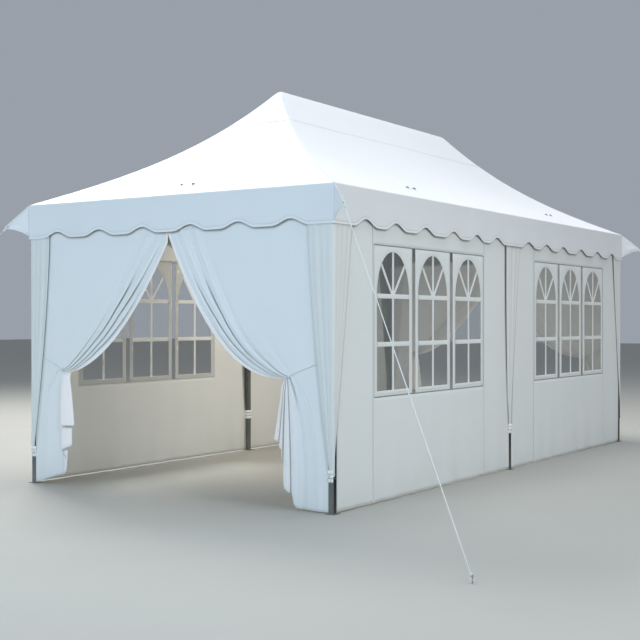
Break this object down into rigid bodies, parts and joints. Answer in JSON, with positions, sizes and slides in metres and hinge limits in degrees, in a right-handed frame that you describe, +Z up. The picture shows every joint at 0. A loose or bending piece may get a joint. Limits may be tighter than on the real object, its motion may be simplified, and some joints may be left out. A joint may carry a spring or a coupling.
{
  "type": "marquee tent",
  "caption": "White party marquee: hipped canopy with scalloped valance, square legs in tapered covers, arched window walls, tied-back end curtains and guy ropes.",
  "frame": {"origin": "on the ground under the middle of the tent", "axes": "+Z up, +X across the tent to the right as seen from the front doorway, +Y along the tent from the front doorway to the rear one"},
  "size_m": [6.5096, 8.845, 3.3448],
  "materials": {
    "canopy_cloth": "white coated woven polyethylene, satin",
    "wall_cloth": "white coated woven polyethylene wall and curtain cloth",
    "steel_tube": "powder-coated steel tube, dark grey-green",
    "window_film": "clear flexible film, lightly smoked",
    "strap": "white woven tie tape",
    "rope": "white braided cord",
    "peg_steel": "zinc-plated steel rod"
  },
  "bodies": {
    "root": {"corner_ear_front_left": "canopy_cloth", "corner_ear_front_right": "canopy_cloth", "corner_ear_rear_left": "canopy_cloth", "corner_ear_rear_right": "canopy_cloth", "cross_beam_front": "steel_tube", "cross_beam_middle": "steel_tube", "cross_beam_rear": "steel_tube", "curtain_front_left": "wall_cloth", "curtain_front_right": "wall_cloth", "curtain_rear_left": "wall_cloth", "curtain_rear_right": "wall_cloth", "curtain_tie_front_left": "strap", "curtain_tie_front_right": "strap", "curtain_tie_rear_left": "strap", "curtain_tie_rear_right": "strap", "eave_rail_front": "steel_tube", "eave_rail_left": "steel_tube", "eave_rail_rear": "steel_tube", "eave_rail_right": "steel_tube", "ground_peg_front_left": "peg_steel", "ground_peg_front_right": "peg_steel", "ground_peg_rear_left": "peg_steel", "ground_peg_rear_right": "peg_steel", "guy_rope_front_left": "rope", "guy_rope_front_right": "rope", "guy_rope_rear_left": "rope", "guy_rope_rear_right": "rope", "king_post_front": "steel_tube", "king_post_rear": "steel_tube", "leg_cover_front_left": "canopy_cloth", "leg_cover_front_right": "canopy_cloth", "leg_cover_middle_left": "canopy_cloth", "leg_cover_middle_right": "canopy_cloth", "leg_cover_rear_left": "canopy_cloth", "leg_cover_rear_right": "canopy_cloth", "leg_front_left": "steel_tube", "leg_front_right": "steel_tube", "leg_middle_left": "steel_tube", "leg_middle_right": "steel_tube", "leg_rear_left": "steel_tube", "leg_rear_right": "steel_tube", "ridge_tube": "steel_tube", "roof_front": "canopy_cloth", "roof_left": "canopy_cloth", "roof_rear": "canopy_cloth", "roof_right": "canopy_cloth", "valance_front": "canopy_cloth", "valance_left": "canopy_cloth", "valance_rear": "canopy_cloth", "valance_right": "canopy_cloth", "wall_left_front": "wall_cloth", "wall_left_rear": "wall_cloth", "wall_right_front": "wall_cloth", "wall_right_rear": "wall_cloth", "window_left_front": "window_film", "window_left_rear": "window_film", "window_right_front": "window_film", "window_right_rear": "window_film"}
  },
  "joints": []
}
